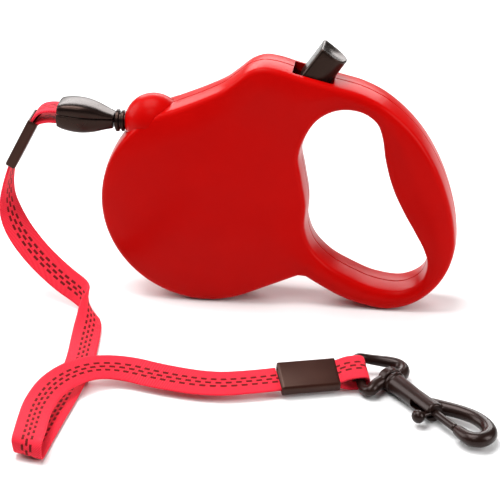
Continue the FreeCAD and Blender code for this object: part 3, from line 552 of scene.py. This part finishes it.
def make_shells():
    """Both shells: the outer form less its hollow, with walls round the button's slot and screw posts."""
    shell = half_solid("front_shell_form", edge_profile(), 0.0, 0.0024)
    hollow = half_solid("hollow", cavity_profile(), WALL, 0.0060)
    bm = bmesh.new()
    stem_block(bm, 0.002, SLOT_DEPTH, SLOT_LOW - SLOT_WALL, SLOT_HIGH + SLOT_WALL,
               SLOT_HALF_Y + SLOT_WALL, 0.001)
    for x, z in SCREW_PLACES:
        pin(bm, x, z, SCREW_POST_R, -0.03, 0.01)
    cut(hollow, new_object("posts", bm))
    cut(shell, hollow)
    bm = bmesh.new()
    stem_block(bm, -0.010, SLOT_DEPTH + 0.002, SLOT_LOW, SLOT_HIGH, SLOT_HALF_Y, 0.0009)
    bmesh.ops.create_uvsphere(bm, u_segments=96, v_segments=64, radius=1.0, matrix=Matrix.Translation(
        (NOSE_X, 0, CORD_Z)) @ Matrix.Diagonal((NOSE_R + 0.0001, NOSE_HALF + 0.0001, NOSE_R + 0.0001, 1)))
    cut(shell, new_object("slot_and_nose", bm))
    rear = shell.copy()
    rear.data = shell.data.copy()
    rear.name = "rear_shell_form"
    rear.data.transform(Matrix.Diagonal((1, -1, 1, 1)))
    rear.data.flip_normals()
    bpy.context.scene.collection.objects.link(rear)
    bm = bmesh.new()
    for x, z in SCREW_PLACES:
        pin(bm, x, z, SCREW_HOLE_R, 0.008, 0.03)
    cut(rear, new_object("screw_holes", bm))
    return shell, rear


def make_button():
    """The thumb button: flat towards the nose, round towards the handle, with a dished top."""
    u, p = stem_axes()
    a, b, corner = BUTTON_HALF_P, BUTTON_HALF_Y, 0.0014
    ring = []
    for k in range(7):
        angle = math.pi / 2 * (1 + k / 6)
        ring.append((-a + corner + corner * math.cos(angle), b - corner + corner * math.sin(angle)))
    for k in range(7):
        angle = math.pi / 2 * (2 + k / 6)
        ring.append((-a + corner + corner * math.cos(angle), -b + corner + corner * math.sin(angle)))
    for k in range(25):
        angle = -math.pi / 2 + math.pi * k / 24
        ring.append((-0.0006 + (a + 0.0006) * math.cos(angle), b * math.sin(angle)))

    def top(across, y):
        """Height of the top over the button's nominal top: a hollow for the thumb."""
        return 0.0016 - 0.0022 * (1 - ((across + 0.001) / 0.0085) ** 2) * (1 - (y / 0.010) ** 2)

    def at(across, y, height):
        return BUTTON_TOP + p * across + Vector((0, y, 0)) + u * height
    rings = [[at(x, y, -BUTTON_DEPTH) for x, y in ring]]
    for share in (0.5, 0.15):
        rings.append([at(x, y, -BUTTON_DEPTH * share) for x, y in ring])
    for shrink, drop in ((1.0, 0.0012), (0.985, 0.0006), (0.95, 0.0002), (0.90, 0.0)):
        rings.append([at(x * shrink, y * shrink, top(x * shrink, y * shrink) - drop) for x, y in ring])
    for shrink in (0.75, 0.55, 0.35, 0.15):
        rings.append([at(x * shrink, y * shrink, top(x * shrink, y * shrink)) for x, y in ring])
    bm = bmesh.new()
    skin(bm, rings)
    return new_object("thumb_button", bm)


def make_coil(name, start, axis, length, radius, wire, turns):
    """A compression spring that stands on a point and runs along an axis."""
    side = axis.orthogonal().normalized()
    over = axis.cross(side)
    rings, steps, count = [], turns * 24, 8
    section = [2 * math.pi * k / count for k in range(count)]
    for i in range(steps + 1):
        angle = 2 * math.pi * turns * i / steps
        out = side * math.cos(angle) + over * math.sin(angle)
        centre = start + axis * (wire + (length - 2 * wire) * i / steps) + out * radius
        rings.append([centre + (out * math.cos(a) + axis * math.sin(a)) * wire for a in section])
    bm = bmesh.new()
    skin(bm, rings)
    return new_object(name, bm)


def make_button_coil():
    """The spring between the lock slider and the button."""
    u, _ = stem_axes()
    seat = BUTTON_TOP - u * SPRING_SEAT
    length = SPRING_SEAT - BUTTON_DEPTH - 0.0001
    coil = make_coil("button_coil", seat, u, length, 0.0046, 0.0004, 3)
    place_piece(coil, "spring_steel", "lock", "button_spring")
    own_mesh(coil)


def make_nose_dome():
    """The nose: a dome that the shells hold, with the bush's bore and a back that clears the spool."""
    bm = bmesh.new()
    bmesh.ops.create_uvsphere(bm, u_segments=128, v_segments=96, radius=1.0, matrix=Matrix.Translation(
        (NOSE_X, 0, CORD_Z)) @ Matrix.Diagonal((NOSE_R, NOSE_HALF, NOSE_R, 1)))
    dome = new_object("nose_dome", bm)
    bm = bmesh.new()
    pin(bm, DRUM_X, DRUM_Z, SPOOL_SPACE_R, -0.02, 0.02, 128)
    cut(dome, new_object("drum_space", bm))
    bm = bmesh.new()
    turns = [2 * math.pi * i / 48 for i in range(48)]
    rings = [[(x, NOSE_BORE_R * math.cos(turn), CORD_Z + NOSE_BORE_R * math.sin(turn)) for turn in turns]
             for x in (-0.07, -0.03)]
    skin(bm, rings)
    return cut(dome, new_object("bore", bm))


# ---- cord stop ----

def stop_ring(width, height, upper):
    """Half of the stop's section: a flattened arch over the joint, or a deep round one under it."""
    count, half = 24, width / 2
    rise = height / 2 - STOP_SPLIT if upper else height / 2 + STOP_SPLIT
    power = 4.2 if upper else 3.6
    side = 1 if upper else -1
    ring = []
    for k in range(count + 1):
        angle = math.pi * k / count
        a, b = math.cos(angle), math.sin(angle)
        across = half * math.copysign(abs(a) ** (2 / power), a)
        up = rise * abs(b) ** (2 / power)
        ring.append((across, STOP_SPLIT + side * (up + 0.00012)))
    return ring


def make_stop_half(name, upper):
    place = stop_matrix()
    stations = through_points([(s, w) for s, w, _ in STOP_SECTIONS], 0.0011)
    heights = through_points([(s, h) for s, _, h in STOP_SECTIONS], 0.0011)
    rings = []
    for station, height in zip(stations, heights):
        ring = stop_ring(station.y, height.y, upper)
        rings.append([place @ Vector((-station.x, a, b)) for a, b in ring])
    bm = bmesh.new()
    skin(bm, rings)
    half = new_object(name, bm, 34.0)
    bevel = half.modifiers.new("soft_edges", "BEVEL")
    bevel.width = 0.00045
    bevel.segments = 3
    bevel.angle_limit = math.radians(34)
    settle(half, 34.0)
    bm = bmesh.new()
    mouth = [[place @ Vector((x, a, b)) for a, b in rounded_ring(0.0136 + grow, 0.0092 + grow, 0.002)]
             for x, grow in ((-0.030, 0.0012), (-0.0255, 0.0008), (-0.0250, 0.0), (-0.0145, 0.0))]
    skin(bm, mouth)
    return cut(half, new_object("mouth", bm))


def make_pulled_cord():
    """The thin cord from inside the nose bush to inside the stop."""
    start, end, steps, count = BUSH_FRONT + 0.0005, STOP_X - 0.0005, 60, 20
    rings = []
    for i in range(steps + 1):
        x = start + (end - start) * i / steps
        rings.append([(x, CORD_R * math.cos(2 * math.pi * k / count),
                       CORD_Z + CORD_R * math.sin(2 * math.pi * k / count)) for k in range(count)])
    bm = bmesh.new()
    skin(bm, rings)
    piece = new_object("pulled_cord", bm)
    dress(piece, "cord")
    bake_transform(piece)


# ---- snap hook ----

def add_rod(bm, points, radii, steps=10, count=24, squash=1.0, up=Vector((0, 0, 1))):
    """A rod along a smooth line, with the radius at each of the line's control points."""
    centre = smooth_line(points, steps)
    size = smooth_line([Vector(p) + up * r for p, r in zip(points, radii)], steps)
    rings = []
    for i, point in enumerate(centre):
        tangent = (centre[min(i + 1, len(centre) - 1)] - centre[max(i - 1, 0)]).normalized()
        radius = (size[i] - point).length
        side = up.cross(tangent).normalized()
        over = tangent.cross(side)
        ring = []
        for k in range(count):
            angle = 2 * math.pi * k / count
            ring.append(point + side * (radius * math.cos(angle))
                        + over * (radius * squash * math.sin(angle)))
        rings.append(ring)
    skin(bm, rings)


def cast(name, bm, voxel, rounds):
    """Joins overlapping closed forms into one cast piece with softly filled corners."""
    piece = new_object(name, bm)
    remesh = piece.modifiers.new("one_skin", "REMESH")
    remesh.mode = "VOXEL"
    remesh.voxel_size = voxel
    soften = piece.modifiers.new("soften", "SMOOTH")
    soften.factor = 0.5
    soften.iterations = rounds
    settle(piece, 60.0)
    return piece


def snap_matrix():
    return Matrix.Translation(SNAP_ORIGIN) @ Matrix.Rotation(SNAP_YAW, 4, "Z")


def add_turned(bm, place, profile, count=40):
    """A turned form along the X axis of a frame, from (distance, radius) pairs."""
    turns = [2 * math.pi * i / count for i in range(count)]
    rings = [[place @ Vector((x, r * math.cos(turn), r * math.sin(turn))) for turn in turns]
             for x, r in profile]
    skin(bm, rings)


def make_snap_body():
    """The snap's barrel with its end ring, and the hook that runs round to meet the bolt's tip."""
    place = snap_matrix()
    bm = bmesh.new()
    add_turned(bm, place, [(0.0045, 0.0043), (0.0047, 0.0049), (0.0062, 0.0049), (0.0066, 0.0043),
                           (0.0200, 0.0040), (0.0300, 0.0041), (0.0345, 0.0042), (0.0353, 0.0036)])
    hook = [(0.0270, 0.0014), (0.0325, 0.0052), (0.0395, 0.0096), (0.0465, 0.0124), (0.0545, 0.0122),
            (0.0606, 0.0090), (0.0622, 0.0030), (0.0580, -0.0008), (0.0503, 0.0)]
    radii = [0.0032, 0.0032, 0.0031, 0.0030, 0.0031, 0.0034, 0.0034, 0.0031, 0.0023]
    add_rod(bm, [place @ Vector((s, t, 0)) for s, t in hook], radii, squash=0.92)
    body = cast("snap_hook", bm, 0.00032, 6)
    bm = bmesh.new()
    add_turned(bm, place, [(0.0100, 0.0018), (0.0499, 0.0018)])
    cut(body, new_object("bolt_bore", bm))
    bm = bmesh.new()
    slot = [[place @ Vector((x, y, z)) for y, z in ((-0.006, -0.0016), (0.0, -0.0016), (0.0, 0.0016),
                                                   (-0.006, 0.0016))] for x in (0.0224, 0.0369)]
    skin(bm, slot)
    return cut(body, new_object("knob_slot", bm))


def make_bolt():
    """The sliding bolt with its thumb knob."""
    place = snap_matrix()
    bm = bmesh.new()
    add_turned(bm, place, [(BOLT_BACK, 0.0016), (BOLT_BACK + 0.0002, 0.0017), (0.0485, 0.0017),
                           (0.0493, 0.0014),
                           (0.0495, 0.0009)])
    add_rod(bm, [place @ Vector((BOLT_KNOB_X, t, 0)) for t in (0.0, -0.0022, -0.0046, -0.0072)],
            [0.0013, 0.0013, 0.0015, 0.0018], squash=0.75)
    knob = (place @ Matrix.Translation((BOLT_KNOB_X, BOLT_KNOB_Y, 0))
            @ Matrix.Diagonal((0.0030, 0.0026, 0.0028, 1)))
    bmesh.ops.create_uvsphere(bm, u_segments=40, v_segments=24, radius=1.0, matrix=knob)
    return cast("snap_bolt", bm, 0.00025, 4)


def make_gate_coil():
    """The spring in the barrel behind the bolt."""
    place = snap_matrix()
    start, axis = place @ Vector((BOLT_SPRING_FOOT, 0, 0)), place.to_3x3() @ Vector((1, 0, 0))
    length = BOLT_BACK - BOLT_SPRING_FOOT - 0.0001
    coil = make_coil("gate_coil", start, axis, length, 0.00125, 0.0003, 9)
    place_piece(coil, "spring_steel", "snap", "gate_spring")
    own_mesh(coil)


def make_eye():
    """The cast eye: a bar in the webbing loop, two arms, and the collar that the snap swivels in."""
    lower = lower_matrix()
    middle = lower @ Vector((-0.009, 0, 0))
    width = lower.to_3x3() @ Vector((0, 1, 0))
    place = snap_matrix()
    side = place.to_3x3() @ Vector((0, 1, 0))
    collar = place @ Vector((0.002, 0, 0))
    near, far = middle - width * 0.0092, middle + width * 0.0092
    near_bend = Vector((near.x + 0.0068, near.y + 0.0028, 0.0064))
    near_arm = Vector((collar.x + 0.0036, collar.y + 0.0128, 0.0056))
    far_bend = Vector((far.x + 0.0036, far.y - 0.0042, 0.0036))
    bm = bmesh.new()
    points = [collar + side * 0.001, collar + side * 0.0075, near_arm, near_bend, near, middle, far,
              far_bend, collar - side * 0.0072, collar - side * 0.001]
    radii = [0.0032, 0.0030, 0.0027, 0.0022, 0.0019, 0.0018, 0.0020, 0.0024, 0.0029, 0.0032]
    add_rod(bm, points, radii)
    add_turned(bm, place, [(-0.0006, 0.0044), (-0.0002, 0.0052), (0.0036, 0.0052), (0.0040, 0.0046)])
    return cast("swivel_ring", bm, 0.00030, 5)


# ---- materials ----

def material(name):
    made = bpy.data.materials.new(name)
    made.use_nodes = True
    nodes = made.node_tree.nodes
    return made, nodes, made.node_tree.links, nodes["Principled BSDF"]


def noise(nodes, scale, detail, vector, links):
    made = nodes.new("ShaderNodeTexNoise")
    made.inputs["Scale"].default_value = scale
    made.inputs["Detail"].default_value = detail
    links.new(vector, made.inputs["Vector"])
    return made.outputs["Fac"]


def mapped(nodes, links, value, low, high):
    made = nodes.new("ShaderNodeMapRange")
    made.inputs["To Min"].default_value = low
    made.inputs["To Max"].default_value = high
    links.new(value, made.inputs["Value"])
    return made.outputs["Result"]


def mixed(nodes, links, share, first, second):
    made = nodes.new("ShaderNodeMix")
    made.data_type = "RGBA"
    links.new(share, made.inputs["Factor"])
    for socket, colour in ((made.inputs[6], first), (made.inputs[7], second)):
        if isinstance(colour, tuple):
            socket.default_value = (*colour, 1.0)
        else:
            links.new(colour, socket)
    return made.outputs[2]


def moulded(name, dark, light, rough, grain=0.15, metal=0.0, coat=0.0, specular=0.5, tint=(1.0, 1.0, 1.0)):
    """Moulded plastic or cast metal: colour drift, uneven gloss and fine grain."""
    made, nodes, links, shader = material(name)
    place = nodes.new("ShaderNodeTexCoord").outputs["Object"]
    cloud = noise(nodes, 60.0, 2.0, place, links)
    fine = noise(nodes, 2600.0, 3.0, place, links)
    links.new(mixed(nodes, links, cloud, dark, light), shader.inputs["Base Color"])
    links.new(mapped(nodes, links, cloud, rough[0], rough[1]), shader.inputs["Roughness"])
    bump = nodes.new("ShaderNodeBump")
    bump.inputs["Strength"].default_value = grain
    bump.inputs["Distance"].default_value = 0.00005
    links.new(fine, bump.inputs["Height"])
    links.new(bump.outputs["Normal"], shader.inputs["Normal"])
    shader.inputs["Metallic"].default_value = metal
    shader.inputs["Coat Weight"].default_value = coat
    shader.inputs["Coat Roughness"].default_value = 0.25
    shader.inputs["Specular IOR Level"].default_value = specular
    shader.inputs["Specular Tint"].default_value = (*tint, 1.0)
    return made


def math_node(nodes, links, operation, first, second=None, third=None):
    made = nodes.new("ShaderNodeMath")
    made.operation = operation
    for socket, value in zip(made.inputs, (first, second, third)):
        if value is None:
            continue
        if isinstance(value, (int, float)):
            socket.default_value = value
        else:
            links.new(value, socket)
    return made.outputs[0]


def woven(name):
    """Pink-red polyester tape: fine diagonal ribs with a painted highlight on their crests, and three
    staggered rows of brown stitches.
    """
    made, nodes, links, shader = material(name)
    uv = nodes.new("ShaderNodeUVMap")
    uv.uv_map = "tape"
    parts = nodes.new("ShaderNodeSeparateXYZ")
    links.new(uv.outputs["UV"], parts.inputs["Vector"])
    along, across = parts.outputs["X"], parts.outputs["Y"]

    def do(operation, first, second=None, third=None):
        return math_node(nodes, links, operation, first, second, third)
    rib_period, dash_period, dash_length, row_gap = 0.75, 4.3, 2.6, 1.8
    slant = do("MULTIPLY_ADD", across, 0.75, along)
    rib = do("SINE", do("MULTIPLY", slant, 2 * math.pi / rib_period))
    weft = do("SINE", do("MULTIPLY", across, 2 * math.pi / 0.55))
    height = do("MULTIPLY_ADD", rib, 0.6, do("MULTIPLY", weft, 0.3))
    # rows: the distance from the nearest of three lines, and dashes shifted by half a period
    row = do("ROUND", do("DIVIDE", across, row_gap))
    inside_rows = do("LESS_THAN", do("ABSOLUTE", row), 1.5)
    off_row = do("ABSOLUTE", do("SUBTRACT", across, do("MULTIPLY", row, row_gap)))
    near_row = do("LESS_THAN", off_row, 0.55)
    shift = do("MULTIPLY", do("ABSOLUTE", row), dash_period / 2)
    phase = do("MODULO", do("ADD", do("ADD", along, shift), 1000.0), dash_period)
    in_dash = do("LESS_THAN", phase, dash_length)
    dash = do("MULTIPLY", do("MULTIPLY", inside_rows, near_row), in_dash)
    place = nodes.new("ShaderNodeTexCoord").outputs["Object"]
    cloud = noise(nodes, 140.0, 3.0, place, links)
    shade = mixed(nodes, links, cloud, (0.60, 0.004, 0.016), (0.72, 0.010, 0.030))
    # the rib crests are painted a lighter pink: a painted highlight along the ribs
    ribs_with_painted_highlight = mixed(nodes, links, mapped(nodes, links, rib, 0.0, 0.7), shade, (0.95, 0.075, 0.11))
    links.new(mixed(nodes, links, dash, ribs_with_painted_highlight, (0.13, 0.007, 0.007)), shader.inputs["Base Color"])
    links.new(mapped(nodes, links, cloud, 0.55, 0.75), shader.inputs["Roughness"])
    shader.inputs["Specular IOR Level"].default_value = 0.1
    bump = nodes.new("ShaderNodeBump")
    bump.inputs["Strength"].default_value = 0.5
    bump.inputs["Distance"].default_value = 0.00012
    links.new(do("MULTIPLY_ADD", dash, 0.8, height), bump.inputs["Height"])
    links.new(bump.outputs["Normal"], shader.inputs["Normal"])
    shader.inputs["Sheen Weight"].default_value = 0.04
    shader.inputs["Sheen Roughness"].default_value = 0.4
    shader.inputs["Sheen Tint"].default_value = (1.0, 0.55, 0.6, 1.0)
    return made


BROWN_GLARE = (1.0, 0.62, 0.5)
RED_GLARE = (1.0, 0.6, 0.55)

MATERIALS = {
    "red_plastic": moulded("red_plastic", (0.40, 0.0012, 0.001), (0.46, 0.0016, 0.001), (0.26, 0.36), 0.10,
                           specular=0.07, tint=RED_GLARE),
    "black_plastic": moulded("black_plastic", (0.004, 0.002, 0.002), (0.010, 0.006, 0.005), (0.24, 0.32),
                             specular=0.28, tint=BROWN_GLARE),
    "button_plastic": moulded("button_plastic", (0.005, 0.003, 0.002), (0.012, 0.007, 0.006), (0.24, 0.32),
                              specular=0.26, tint=BROWN_GLARE),
    "sleeve_plastic": moulded("sleeve_plastic", (0.014, 0.004, 0.003), (0.030, 0.009, 0.006), (0.24, 0.34),
                              specular=0.28, tint=BROWN_GLARE),
    "grey_plastic": moulded("grey_plastic", (0.30, 0.30, 0.29), (0.36, 0.36, 0.35), (0.40, 0.50)),
    "steel": moulded("steel", (0.50, 0.50, 0.49), (0.60, 0.60, 0.58), (0.22, 0.34), 0.1, 1.0),
    "spring_steel": moulded("spring_steel", (0.30, 0.30, 0.31), (0.38, 0.38, 0.39), (0.25, 0.4), 0.1, 1.0),
    "cord": moulded("cord", (0.45, 0.012, 0.010), (0.55, 0.018, 0.015), (0.6, 0.75), 0.6),
    "bronzed_metal": moulded("bronzed_metal", (0.010, 0.004, 0.003), (0.026, 0.010, 0.007), (0.24, 0.36),
                             0.12, 0.35, 0.05, 0.25),
    "webbing": woven("webbing"),
}


def dress(piece, slot_name):
    piece.data.materials.clear()
    piece.data.materials.append(MATERIALS[slot_name])
    return piece


def dress_cad_nodes():
    """Each CAD node takes the finished material of the slot it was packed with."""
    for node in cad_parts.values():
        for slot in node.material_slots:
            slot.material = MATERIALS[slot.material.name.split(".")[0]]


# ---- studio ----

def make_camera():
    back = Vector((math.sin(AZIMUTH) * math.cos(ELEVATION), -math.cos(AZIMUTH) * math.cos(ELEVATION),
                   math.sin(ELEVATION)))
    data = bpy.data.cameras.new("camera")
    data.lens = CAMERA_LENS
    data.sensor_width = 36.0
    data.clip_start, data.clip_end = 0.05, 20.0
    camera = bpy.data.objects.new("camera", data)
    camera.location = CAMERA_TARGET + back * CAMERA_DISTANCE
    camera.rotation_mode = "QUATERNION"
    camera.rotation_quaternion = (-back).to_track_quat("-Z", "Y")
    bpy.context.scene.collection.objects.link(camera)
    bpy.context.scene.camera = camera


def make_light(name, place, target, size, power, colour=(1.0, 1.0, 1.0)):
    data = bpy.data.lights.new(name, "AREA")
    data.shape = "RECTANGLE"
    data.size, data.size_y = size
    data.energy = power
    data.color = colour
    light = bpy.data.objects.new(name, data)
    light.location = place
    light.rotation_mode = "QUATERNION"
    light.rotation_quaternion = (Vector(target) - Vector(place)).to_track_quat("-Z", "Y")
    bpy.context.scene.collection.objects.link(light)


def make_studio():
    bm = bmesh.new()
    bmesh.ops.create_grid(bm, x_segments=8, y_segments=8, size=6.0)
    floor = new_object("floor", bm)
    made, nodes, links, shader = material("floor")
    place = nodes.new("ShaderNodeTexCoord").outputs["Object"]
    cloud = noise(nodes, 3.0, 2.0, place, links)
    links.new(mapped(nodes, links, cloud, 0.78, 0.86), shader.inputs["Roughness"])
    shader.inputs["Base Color"].default_value = (0.80, 0.80, 0.80, 1.0)
    floor.data.materials.append(made)
    floor.location.z = -0.0002
    world = bpy.data.worlds.new("studio")
    world.use_nodes = True
    world.node_tree.nodes["Background"].inputs["Color"].default_value = (1.0, 1.0, 1.0, 1.0)
    world.node_tree.nodes["Background"].inputs["Strength"].default_value = 0.12
    bpy.context.scene.world = world
    bpy.context.scene.view_settings.view_transform = "Standard"
    make_light("key", (-0.30, 0.0, 1.25), (0.0, 0.0, 0.05), (0.8, 0.8), 20.0)
    make_light("front", (-0.25, -0.75, 1.05), (0.0, 0.0, 0.08), (0.4, 0.4), 3.0)
    make_light("left", (-1.0, 0.15, 0.55), (0.0, 0.0, 0.05), (0.7, 0.7), 8.0)
    make_light("right", (1.0, -0.25, 0.55), (0.05, 0.0, 0.06), (0.5, 0.7), 9.0)
    make_light("back", (-0.10, 1.15, 0.62), (0.0, 0.0, 0.06), (1.3, 0.45), 14.0)


# ---- assembly ----

def place_piece(piece, slot_name, body, *nodes):
    dress(piece, slot_name)
    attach(piece, body)
    if nodes:
        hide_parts(*nodes)
    return piece


dress_cad_nodes()
webbing, webbing_path = make_webbing()
place_piece(webbing, "webbing", "lead", "webbing")
place_piece(make_upper_loop(), "webbing", "lead", "upper_loop")
place_piece(make_lower_loop(), "webbing", "lead", "lower_loop")
origin, along, across = upper_frame()
upper_place = Matrix.Translation(origin) @ Matrix((
    (along.x, 0, across.x, 0), (0, 1, 0, 0), (along.z, 0, across.z, 0), (0, 0, 0, 1)))
place_piece(make_sleeve("upper_sleeve_shell", upper_place), "sleeve_plastic", "lead", "upper_sleeve")
place_piece(make_sleeve("lower_sleeve_shell", lower_matrix()), "sleeve_plastic", "lead", "lower_sleeve")
front_form, rear_form = make_shells()
place_piece(front_form, "red_plastic", "housing", "front_shell")
place_piece(rear_form, "red_plastic", "housing", "rear_shell")
place_piece(make_nose_dome(), "red_plastic", "housing", "nose_guide")
place_piece(make_button(), "button_plastic", "button", "brake_button")
place_piece(make_stop_half("stop_top", True), "black_plastic", "lead", "cord_stop_upper")
place_piece(make_stop_half("stop_bottom", False), "black_plastic", "lead", "cord_stop_lower")
make_pulled_cord()
place_piece(make_eye(), "bronzed_metal", "eye", "swivel_eye")
place_piece(make_snap_body(), "bronzed_metal", "snap", "snap_body")
place_piece(make_bolt(), "bronzed_metal", "gate", "gate_bolt")
make_button_coil()
make_gate_coil()
make_camera()
make_studio()
